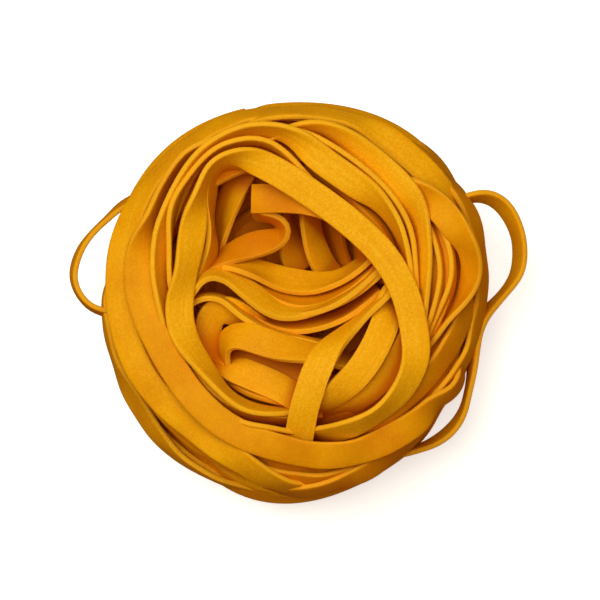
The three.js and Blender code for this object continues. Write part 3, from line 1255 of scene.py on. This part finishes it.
RIM_ROUTES = (
    Route("south_east_shaded", (
        (34, 5.5, -3.2, 21), (34, 2, -3.6, 23.5), (33.2, -1.9, -4, 25.2), (31.2, -6.7, -4.4, 26.4),
        (28.2, -11.6, -4.5, 27), (24.2, -16.4, -4.5, 27.2), (20.2, -20.3, -4.5, 27.2),
        (16.2, -23.4, -4.3, 27), (12.2, -26.1, -4, 26.4), (8, -27.5, -4, 25),
    ), tone=0.25),
    Route("east_inner_1", (
        (23.6, 22, -2, 25.5), (26.4, 19.2, -2, 28), (28.4, 15.7, -2.1, 29.2),
        (30, 11.7, -2.2, 29.4), (30.6, 7.7, -2.2, 29.4), (30.4, 3.7, -2.1, 29.2),
        (29.2, 0.1, -1.9, 28.9), (27.2, -3.9, -1.8, 28), (25.5, -8, -1.8, 26),
    ), tone=0.5),
    Route("east_inner_2", (
        (22.5, 20.5, -2.2, 25.5), (25, 17.4, -2.2, 28), (27, 13.6, -2.3, 29.4),
        (28.2, 9.5, -2.4, 29.8), (28.6, 5.5, -2.3, 29.8), (28, 1.5, -2.1, 29.6),
        (26.8, -2.5, -1.9, 28.8), (25, -6.5, -1.8, 27),
    ), tone=0.45),
    Route("east_broad", (
        (17.4, 24.4, 3, 25.5), (20, 23.8, 3.6, 27.4), (22.9, 22.6, 4.4, 28.4), (25.8, 20.6, 5, 29),
        (28.4, 18.2, 5.3, 29.2), (30.6, 15.4, 5.2, 29.4), (32.4, 12.6, 4.8, 29.5),
        (33.7, 10.3, 4.7, 29.5), (34.3, 7.8, 4.6, 29.5), (34.2, 5.2, 4.2, 29.4),
        (33.4, 2.6, 3.7, 29.2), (31.8, -0.4, 2.9, 28.9), (29.2, -3.6, 2.2, 28.4),
        (26.9, -6.5, 1.8, 27.8), (24.6, -9.5, 1.8, 26),
    ), tone=0.4, cup=-0.3),
    Route("north_inner_broad", (
        (-4, 33.6, 2, 26), (0.2, 34.8, 2.4, 28.6), (4.2, 34.8, 3.2, 29.8), (8.2, 33.3, 4.3, 30.3),
        (12.2, 30.5, 4.9, 30.8), (16.2, 27.1, 5.1, 31), (20, 23.4, 5.1, 31), (22.6, 20.1, 4.9, 31),
        (24, 16.6, 4.5, 31), (24.6, 12.6, 4.1, 30.9), (24.7, 8.6, 3.8, 30.8),
        (24.7, 4.6, 3.4, 30.6), (24.6, 0.5, 3, 30.2), (24.3, -3.5, 2.6, 29),
    ), tone=0.8),
    Route("north_on_edge", (
        (-5, 32.4, 1.6, 27), (-2, 33.9, 1.7, 29.4), (0.8, 33.7, 1.8, 30.4), (4.4, 32.2, 1.9, 30.8),
        (8.4, 29.8, 1.9, 30.9), (12.4, 26.8, 1.9, 30.9), (16.3, 23.2, 1.9, 30.9),
        (19.3, 19.5, 1.9, 30.8), (21.4, 15.9, 1.8, 30.6), (22.6, 12.2, 1.7, 30.4), (23, 8, 1.7, 30),
        (23.2, 3, 1.7, 28.5),
    ), tone=0.7),
    Route("great_rim_ribbon", (
        (-7, 31.3, -1.9, 25.5), (-11, 33.2, -1.9, 28), (-14.2, 33.4, -2, 28.8),
        (-17.8, 32.1, -2.1, 29.4), (-21, 30.5, -2.1, 29.8), (-23.8, 27.9, -2.2, 30),
        (-26, 24.8, -2.3, 30), (-27.9, 20.8, -2.6, 30), (-29.5, 17, -3.2, 30),
        (-31, 12.9, -4.4, 30.2), (-31.8, 9.3, -5.2, 30.4), (-32, 5.9, 5.4, 30.6),
        (-31.8, 2.3, 5.5, 30.8), (-30.7, -1.6, 5.5, 31), (-29.1, -5.6, 5.5, 31.2),
        (-26.9, -9.8, 5.6, 31.4), (-24.6, -13.7, 5.6, 31.6), (-21.9, -17.6, 5.6, 31.6),
        (-18.8, -21, 5.6, 31.6), (-15.4, -23.9, 5.6, 31.6), (-11.8, -26, 5.5, 31.4),
        (-7.8, -27.7, 5.4, 31.2), (-3.8, -28.9, 5.2, 31), (0.2, -29.9, 5, 30.8),
        (4.2, -30.4, 5, 30.6), (8.2, -30.3, 5, 30.3), (12.2, -29.5, 5, 29.8), (16.2, -28, 5.2, 29),
        (20.2, -25.9, 5.2, 28.2), (24.2, -23.2, 4.9, 27.4), (27.1, -20, 4, 26.4),
        (30.5, -17.9, 2.6, 25), (32.2, -15.4, 1.8, 23.4), (32.2, -13, 1.6, 21.6),
        (30.8, -11.2, 1.6, 19), (28, -9.8, 1.6, 16),
    ), tone=0.5, tuck=(3.0, 8.0), tone_and_shade_end=0.3),
    Route("north_broad_and_west_second", (
        (22.4, 1, -1.7, 28.5), (22.1, 5, -1.8, 30), (21.5, 8.5, -2, 30.8), (20.7, 11.6, -2.2, 31),
        (19.6, 14.7, -2.6, 31.2), (17.8, 17.7, -3.4, 31.4), (15.2, 20.6, -4.4, 31.6),
        (12.1, 22.9, -5.3, 31.8), (8.6, 25.4, -5.5, 31.8), (5.2, 27.8, -5.5, 31.8),
        (2.4, 30.1, -5.2, 31.8), (0, 32.1, -4.6, 31.7), (-2.6, 33.5, -4, 31.6),
        (-5.8, 34.3, -3.5, 31.6), (-9.8, 34.2, -3.3, 31.6), (-13.4, 33.1, -3.2, 31.6),
        (-16.8, 31.2, -3.3, 31.5), (-19.4, 29, -3.5, 31.5), (-21.7, 26, -3.7, 31.4),
        (-23.7, 22.4, -3.9, 31.3), (-25.6, 18.1, -4.1, 31.2), (-27.1, 13.7, -4.1, 31.2),
        (-27.7, 9.5, -4, 31.1), (-27.8, 5.5, -3.8, 31), (-27.3, 1.5, -3.4, 30.6),
        (-26.6, -2.5, -2.8, 29.6), (-25.6, -7, -2.4, 27.5),
    ), tone=1.0, cup=-0.2),
    Route("north_narrow", (
        (-24.2, -1, 1.5, 27.5), (-25.2, 3, 1.5, 29.6), (-25.8, 7.5, 1.6, 30.5),
        (-25.9, 11.5, 1.6, 30.8), (-25.6, 15.5, 1.7, 30.8), (-24.8, 19.2, 1.8, 30.8),
        (-23, 23.2, 1.8, 30.8), (-20.6, 26.9, 1.8, 30.8), (-17.8, 29.5, 1.8, 30.9),
        (-14.6, 31.2, 1.9, 31), (-9.8, 32.2, 1.9, 31), (-5.9, 31.5, 2.1, 30.8),
        (-2.6, 29.2, 2.4, 30.4), (0.2, 26.3, 2.6, 29.8), (2.8, 23.4, 2.4, 28.6),
        (5.8, 20.2, 2.2, 26.5),
    ), tone=0.65),
)

HOLLOW_ROUTES = (
    Route("inside_the_east_rim", (
        (22.6, 21.5, 4, 25.4), (25.2, 17, 4.8, 27.4), (27.3, 12, 5.6, 29.4), (28.1, 7, 5.6, 29.6),
        (27.5, 2, 5.4, 29.4), (26, -3, 5, 28.2), (24.4, -7.5, 3.6, 26),
    ), rests=False, tone=0.35),
    Route("between_arch_and_north", (
        (2, 27.6, -3, 24.4), (5.6, 25, -3.2, 25.8), (9.2, 22.4, -3.4, 26.6), (13, 19.4, -3.4, 26.8),
        (16.4, 16, -3.2, 26.6), (19, 12, -3, 26), (20.8, 7.5, -3, 24.4),
    ), tone=0.3, rests=False),
    Route("inside_the_great_rim", (
        (-26, -3, 3, 25), (-24.8, -7, 3, 26.5), (-22.6, -11.8, 3, 27.3), (-19.6, -16.2, 3, 27.5),
        (-15.8, -19.8, 3, 27.5), (-11.4, -22.2, 3, 27.5), (-6.4, -23.2, 3, 27.3),
        (-1, -23.4, 3, 26.5), (4, -23.4, 3, 25),
    ), tone=0.3, rests=False),
    Route("inside_the_arch_foot", (
        (22.8, -14.5, -3.4, 22.1), (20, -18.2, -3.8, 23.6), (16, -20.8, -4, 24),
        (11.2, -22.6, -4, 24), (5.6, -23.4, -4, 23.6), (0, -23.6, -4, 22.6),
    ), tone=0.3, rests=False),
    Route("deep_east_1", (
        (6.2, 21, 4, 17), (6.8, 16.5, 4.2, 15), (7.4, 12, 4.4, 13), (8.6, 7.5, 4.4, 12.5),
        (11, 4, 4, 13),
    ), tone=0.1),
    Route("deep_east_2", (
        (12.6, 18, 2.8, 19), (12.2, 13.5, 2.7, 17.5), (12.2, 9.5, 2.7, 17), (13, 6, 2.7, 17),
        (15, 2.5, 2.5, 17),
    ), tone=0.15),
    Route("deep_east_3", (
        (14.6, 14, 2.4, 22), (15.6, 10.8, 2.6, 22.6), (16, 7.5, 2.4, 22.5), (16.4, 4, 2.4, 22),
    ), tone=0.2),
    Route("deep_west", (
        (-8.4, 29.5, 5, 21), (-10.6, 27, 5.2, 21.4), (-12.2, 24.3, 5.2, 21.2),
        (-13.6, 21, 4.8, 20.6), (-14.8, 17.6, 4, 20), (-15.6, 14, 3.2, 19.4),
        (-16.2, 10.4, 2.6, 19), (-17, 6.5, 2.4, 18.6),
    ), tone=0.45, rests=False),
    Route("deep_triangle", (
        (-2.6, 18.4, -2.6, 20.5), (-2.1, 15.2, -3.2, 19.6), (-1.9, 12, -4.4, 18.6),
        (-1.2, 9.2, -5.2, 17.4), (0.5, 6.4, -5, 16.2),
    ), tone=0.4),
    Route("deep_upright", (
        (2, 22.5, -3.6, 22.5), (2, 19.5, -3.8, 22), (2.2, 16.3, -4, 21), (2.9, 12.4, -4.4, 19.6),
        (4.2, 8.8, -4.9, 18), (6, 5.8, -5, 17), (8, 3.4, -5, 16.5),
    ), tone=0.6),
    Route("west_inner_wall", (
        (-9, 25.8, -2.2, 24), (-12.2, 27, -2.3, 26.6), (-14.9, 27.2, -2.4, 27.8),
        (-16.9, 25.6, -2.4, 28), (-17.7, 22.4, -2.4, 28), (-17.9, 18.5, -2.4, 27.8),
        (-17.6, 14.5, -2.5, 27.4), (-17.5, 10.5, -2.6, 27), (-18.8, 6.6, -2.6, 26.4),
        (-20.4, 3.4, -2.6, 25.6), (-22, 0, -2.6, 24),
    ), tone=0.4),
    Route("hook_under", (
        (-7.6, 20.4, 1.6, 21.4), (-8.8, 18.8, 1.6, 23.2), (-7.8, 17.4, 1.6, 24.6),
        (-5.2, 16.9, 1.8, 25), (-3.4, 15.8, 2.4, 24.9), (-2.9, 14.1, 3.4, 24.6),
        (-4.2, 12.7, 4.4, 24.3), (-6.8, 12, 5, 24), (-9.8, 11.2, 5, 23.8), (-13, 10, 4.4, 23.7),
        (-15.8, 8.6, 3.4, 23.7), (-18.6, 7.1, 2.8, 23.2),
    ), tone=0.0),
    Route("hook_top", (
        (10, 16.5, 5, 26), (6, 19, 5.2, 26.8), (1.8, 20.2, 5.3, 27), (-2.8, 20.6, 5.4, 27),
        (-6.2, 20.7, 5.4, 26.8), (-8.3, 20.7, 5.4, 26), (-9.3, 20.7, 5.4, 24.6),
    ), tone=0.2, tuck=(3.0, 0.0)),
    Route("south_of_the_deep", (
        (-17, 8.4, -2.8, 21), (-13.6, 8.1, -3.4, 21.6), (-10.2, 7.2, -4, 22), (-6.6, 5.9, -4.6, 22),
        (-2.8, 4.6, -4.9, 22), (0.9, 4, -4.9, 22), (4.6, 4.1, -4.4, 22.2), (8.2, 5.1, -3.2, 22.8),
        (11.2, 6.9, -2.6, 23.4), (13.8, 9.1, -2.4, 24), (16.5, 11.5, -2.4, 24.6),
    ), tone=0.5, cup=-0.3),
    Route("lip_below_the_deep", (
        (-11.4, 6.2, -2.6, 20.5), (-8.2, 4.1, -3.2, 22), (-5.4, 2.2, -3.4, 22.8),
        (-2.4, 0.8, -3.4, 23), (1.4, 0.2, -3.4, 23.2), (5.6, 1, -3.4, 23.4), (9.6, 3.1, -3.2, 23.8),
        (12.8, 5.7, -3, 24.2), (15.6, 8.6, -2.8, 24.2),
    ), tone=0.3, cup=-0.2),
    Route("bowl_layer_1", (
        (-10.4, -0.8, -2.6, 21), (-7.4, -2.9, -3, 22.8), (-4.6, -4, -3.3, 23.4),
        (-1.4, -4.5, -3.4, 23.8), (2.2, -4.4, -3.4, 24), (5.8, -3.7, -3.3, 24.2),
        (9.4, -2.2, -3.2, 24.4), (12.6, 0.2, -3, 24.6), (15.8, 3, -2.8, 24.6),
    ), tone=0.45, cup=-0.2),
    Route("south_west_bend", (
        (-5.6, -6.4, -4.6, 20), (-8.4, -4.6, -4.8, 22), (-11.8, -2.4, -5, 23.4),
        (-14.8, -1.3, -5.1, 24), (-17.2, -2.2, -5.1, 24.3), (-18.3, -4.8, -5.1, 24.3),
        (-18, -7.8, -5, 24.1), (-16.6, -10.4, -4.8, 23.4), (-14.2, -12.6, -4.4, 21.5),
    ), tone=0.6),
    Route("bowl_layer_2", (
        (-23.4, -1.6, -2.4, 24.6), (-21.2, 0.5, -2.3, 25.2), (-18.2, 1.3, -2.3, 25.2),
        (-14.9, 0.6, -2.3, 25), (-11.8, -1.8, -2.3, 25), (-8.8, -3.9, -2.3, 25),
        (-4.8, -5.7, -2.3, 25.2), (0.2, -7.1, -2.3, 25.4), (4.2, -8.1, -2.3, 25.6),
        (8, -8.8, -2.3, 25.6),
    ), tone=0.7),
    Route("bowl_broad", (
        (-15, -12.4, -2.4, 21), (-15.3, -10, -3, 22.4), (-14.8, -8, -3.9, 23.8),
        (-13.2, -6.8, -4.8, 24.7), (-10.8, -6.8, -5.3, 25.1), (-7.8, -7.7, -5.3, 25.2),
        (-3.8, -9, -5, 25), (0.4, -9.8, -4.6, 24.8), (4.4, -10.4, -4.2, 24.4),
        (8.4, -11.4, -4, 23.8), (12.4, -12.8, -4, 22.8),
    ), tone=0.5, tuck=(0.0, 3.0)),
    Route("bowl_thin", (
        (-16.6, -10.8, -3.4, 22), (-13.6, -11.2, -4.6, 23.2), (-9.8, -11.4, -5.2, 23.9),
        (-4.8, -12.4, -5.3, 24.1), (0.2, -14, -5.3, 24.1), (4.4, -16, -5, 24),
        (8.6, -17.4, -4.4, 23.4),
    ), tone=0.7, rests=False),
    Route("bowl_south_face", (
        (-15.4, -13, -3.4, 21), (-12.8, -15.4, -3.6, 23), (-9.8, -17, -3.6, 24.2),
        (-6.8, -17.9, -3.5, 24.7), (-3.2, -19, -3.4, 24.8), (0.6, -20.4, -3.2, 24.4),
    ), tone=0.45),
    Route("bowl_under", (
        (-17.6, -11.6, -3, 22.2), (-15, -12.8, -4.2, 23.6), (-11.8, -13.8, -5.2, 24.4),
        (-7.8, -15.3, -5.4, 24.8), (-3.8, -17.1, -5.4, 25), (-0.6, -19.1, -5.3, 25.1),
        (2.6, -21.4, -5, 25),
    ), tone=0.5),
    Route("sweep", (
        (-23.4, -0.4, -2.8, 25.4), (-21.5, 2.7, -3, 26), (-19.7, 5, -3, 25.9),
        (-17.4, 5.8, -3.2, 25.7), (-13.8, 5.1, -3.8, 25.4), (-10.8, 3, -4.2, 25.3),
        (-7.8, 0.6, -4.4, 25.2), (-4.8, -1.4, -4.2, 25.3), (-1.8, -2, -3.8, 25.4),
        (1.4, -1.7, -3, 25.6), (5.2, -0.6, -2.4, 25.9), (9.2, 1.2, -2.8, 26.3),
        (12.2, 3.2, -3.3, 26.8), (14.8, 5.4, -3.3, 27.2), (17.5, 8, -3, 26.8),
    ), tone=0.95),
    Route("strip_on_edge", (
        (-1.6, -2.6, -1.7, 24), (2.2, -1.9, -1.7, 25.4), (5.4, -0.9, -1.7, 26),
        (8.4, 0.6, -1.8, 26.6), (11.2, 2.4, -1.8, 27), (13.6, 4.4, -1.9, 27.4),
        (16.2, 7, -1.9, 26.8),
    ), tone=0.6),
    Route("under_west_crossing", (
        (22.4, -4, -3.4, 24.5), (21.6, -7.1, -4.2, 26.2), (20.4, -9.9, -4.8, 27.6),
        (18.4, -12.7, -5, 28.4), (16, -15.5, -5.1, 28.8), (13, -18, -5, 28.6),
        (9.8, -20.2, -4.6, 27.6), (7.2, -21.4, -3.4, 25.6), (3.6, -22.4, -3, 25),
    ), tone=0.95, tuck=(7.0, 5.0)),
    Route("second_crossing", (
        (19.2, 4.6, -2, 25.5), (18.6, 2.6, -3, 27), (17.7, -0.2, -4.8, 27.8),
        (17.2, -3.7, -5.5, 28), (15.8, -7.4, -5.6, 28), (13.8, -11.1, -5.6, 27.8),
        (11.3, -14.4, -5.5, 27.4), (8, -17.5, -5, 27), (4.8, -20.2, -4.2, 26.2),
        (1.4, -22.4, -3.6, 25),
    ), tone=0.85, tuck=(4.0, 4.0)),
    Route("crossing", (
        (21.2, 6.4, 2.2, 26), (19.2, 4, 2, 27.6), (17.2, 1.4, 1.9, 28.2), (13.9, -1.6, 2, 28.2),
        (10.8, -4.6, 2.7, 28.2), (8.3, -6.8, 3.4, 28.2), (6.5, -8.5, 4.4, 28.2),
        (5, -10.8, 5.3, 28.4), (3.2, -14.3, 5.7, 29), (2.1, -17.6, 5.7, 29.8), (1, -21, 5.7, 30.5),
        (0.4, -24.4, 5.7, 30.6), (0, -26.8, 5.6, 29.6), (-0.2, -29, 5.4, 26.5),
    ), tone=0.85, tuck=(3.0, 6.0)),
)

TOP_ROUTES = (
    Route("arch", (
        (0.8, -21, 2.4, 24), (-2.2, -21.5, 2.4, 27.6), (-5.8, -21.6, 2.4, 29.6),
        (-9.6, -21, 2.5, 30.2), (-12.7, -19.5, 2.7, 30.6), (-15.4, -17.1, 3, 30.8),
        (-17.7, -14.2, 3.4, 31), (-19.8, -11.4, 4, 31.2), (-21.8, -8.6, 4.8, 31.4),
        (-23.2, -5.6, 5.4, 31.6), (-23.8, -2.2, 5.4, 31.8), (-23.6, 1.2, 5, 32),
        (-22.8, 4.6, 4.7, 32.2), (-22.1, 8.2, 4.8, 32.3), (-21.4, 12.6, 5.1, 32.4),
        (-20.8, 16.5, 5.1, 32.5), (-20, 20.3, 3.6, 32.6), (-19, 23.8, 2.1, 32.7),
        (-17.6, 26.7, 1.8, 32.8), (-15.2, 28.5, 2.6, 32.9), (-11.8, 28.9, 4, 33),
        (-7.8, 27.7, 5.3, 33.1), (-3.4, 25.4, 5.7, 33.2), (1, 22.6, 5.7, 33.3),
        (5.2, 19.7, 5.7, 33.4), (9.2, 16.7, 5.7, 33.4), (13, 13.4, 5.7, 33.4),
        (16.4, 9.9, 5.7, 33.4), (19.1, 6, 5.7, 33.4), (21, 2, 5.7, 33.3), (22.3, -2.4, 5.7, 33.1),
        (23.1, -6.8, 5.6, 32.6), (23.2, -10.8, -5.3, 31.8), (22, -14.8, -4.7, 31),
        (19.6, -18.6, -4.4, 30.2), (16, -21.9, -4.2, 29.6), (11.6, -24.4, -4.1, 29),
        (7, -25.9, -3.8, 28), (2.4, -26.4, -3.6, 26),
    ), tone=0.85, cup=0.0, tuck=(5.0, 4.0)),
    Route("tuck_strip", (
        (-15.4, -21.6, 1.8, 27.5), (-12.4, -23.4, 1.8, 29.4), (-9.4, -24.4, 1.8, 30.2),
        (-6.2, -25.1, 1.8, 30.4), (-3.8, -25.6, 1.8, 29), (-1.2, -25.9, 1.8, 27.2),
        (1.4, -26, 1.8, 25.4),
    ), tone=0.45, rests=False),
)


# --------------------------------------------------------------------------------------------
# Studio


@dataclass(frozen=True)
class SoftLamp:
    """A square soft lamp, in metres and watts, turned towards the middle of the board."""

    name: str
    place: tuple[float, float, float]
    size: float
    power: float
    colour: str

    def hang(self) -> None:
        """Hang the lamp."""
        lamp = bpy.data.lights.new(self.name, "AREA")
        lamp.color = linear(self.colour)[:3]
        lamp.size = self.size
        lamp.energy = self.power
        holder = bpy.data.objects.new(self.name, lamp)
        bpy.context.scene.collection.objects.link(holder)
        holder.location = self.place
        holder.rotation_euler = (-Vector(self.place)).to_track_quat("-Z", "Y").to_euler()


@dataclass
class Studio:
    """A white board under soft lamps, seen from straight above.

    Attributes:
        distance: from the board to the camera, in metres.
        view_mm: the side of the square that the camera takes in, in mm.
        sharp_height_mm: the height at which that side is measured.
        aim_mm: where the camera is centred, east and north of the nest's middle, in mm.
    """

    distance: float = 1.3
    view_mm: float = 120.0
    sharp_height_mm: float = 24.0
    aim_mm: tuple[float, float] = (0.2, 0.5)
    sensor_mm: float = 36.0
    board_side: float = 6.0
    air_colour: str = "#FFC87C"
    air_strength: float = 0.2
    lamps: tuple[SoftLamp, ...] = (
        SoftLamp("overhead", (-0.24, 0.3, 1.1), 0.9, 13.2, "#F6FFF2"),
        SoftLamp("fill", (0.5, -0.4, 0.9), 0.7, 0.9, "#FFFFFF"),
    )

    def floor(self) -> None:
        """Lay the board, which throws no light of its own on the nest."""
        deselect()
        bpy.ops.mesh.primitive_plane_add(size=self.board_side, location=(0, 0, 0))
        board = bpy.context.object
        board.name = board.data.name = "board"
        board.data.materials.append(PaintedFloor().build())
        board.visible_diffuse = False
        board.visible_glossy = False

    def light(self) -> None:
        """Light the air evenly and hang the lamps."""
        world = bpy.data.worlds.new("studio air")
        bpy.context.scene.world = world
        world.use_nodes = True
        air = {"Color": linear(self.air_colour), "Strength": self.air_strength}
        feed(world.node_tree.nodes["Background"], air)
        for lamp in self.lamps:
            lamp.hang()

    def camera(self) -> None:
        """Set the camera over the nest."""
        lens = bpy.data.cameras.new("camera")
        reach = self.distance - self.sharp_height_mm * MM
        lens.sensor_width = self.sensor_mm
        lens.lens = self.sensor_mm * reach / (self.view_mm * MM)
        lens.clip_start = 0.05
        lens.clip_end = 10.0
        eye = bpy.data.objects.new("camera", lens)
        bpy.context.scene.collection.objects.link(eye)
        eye.location = BASE + Vector((self.aim_mm[0] * MM, self.aim_mm[1] * MM, self.distance))
        bpy.context.scene.camera = eye

    def build(self) -> None:
        """Build the whole studio."""
        self.floor()
        self.light()
        self.camera()
        scene = bpy.context.scene
        scene.view_settings.view_transform = "Standard"
        scene.view_settings.look = "None"


@dataclass
class PastaNest:
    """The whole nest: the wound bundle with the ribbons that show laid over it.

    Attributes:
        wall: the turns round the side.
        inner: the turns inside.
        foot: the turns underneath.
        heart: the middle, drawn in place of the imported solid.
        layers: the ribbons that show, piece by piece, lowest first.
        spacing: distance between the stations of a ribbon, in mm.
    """

    wall: OuterWall = field(default_factory=OuterWall)
    inner: InnerTurns = field(default_factory=InnerTurns)
    foot: Foot = field(default_factory=Foot)
    heart: Heart = field(default_factory=Heart)
    layers: tuple[tuple[Layer, tuple[Route, ...]], ...] = (
        (Layer.OUTER, OUTER_ROUTES),
        (Layer.LOOPS, LOOP_ROUTES),
        (Layer.RIM, RIM_ROUTES),
        (Layer.HOLLOW, HOLLOW_ROUTES),
        (Layer.TOP, TOP_ROUTES),
    )
    spacing: float = 0.9

    def lay(self, pile: Pile) -> dict[Layer, list[Ribbon]]:
        """Lay every ribbon, lowest first.

        Args:
            pile: an empty pile.

        Returns:
            The laid ribbons of each piece.
        """
        laid = {
            Layer.WALL: list(self.wall.turns()),
            Layer.INNER: list(self.inner.turns()),
            Layer.FOOT: list(self.foot.turns()),
        }
        for turns in laid.values():
            for turn in turns:
                pile.add(turn)
        number = 0
        for layer, routes in self.layers:
            laid[layer] = []
            for route in routes:
                number += 1
                laid[layer].append(route.laid(pile, self.spacing, number))
        pile.settle()
        return laid

    def build(self) -> None:
        """Make every piece and dress it."""
        dough = DriedEggDough().build()
        pile = Pile()
        for layer, ribbons in self.lay(pile).items():
            dress(joined_ribbons(ribbons, layer.value), dough, pile)
        self.heart.dress(self.heart.build(), dough, pile)


def main() -> None:
    """Build the nest and its studio."""
    logging.basicConfig(level=logging.INFO, format="%(message)s")
    PastaNest().build()
    Studio().build()


if __name__ == "__main__":
    main()
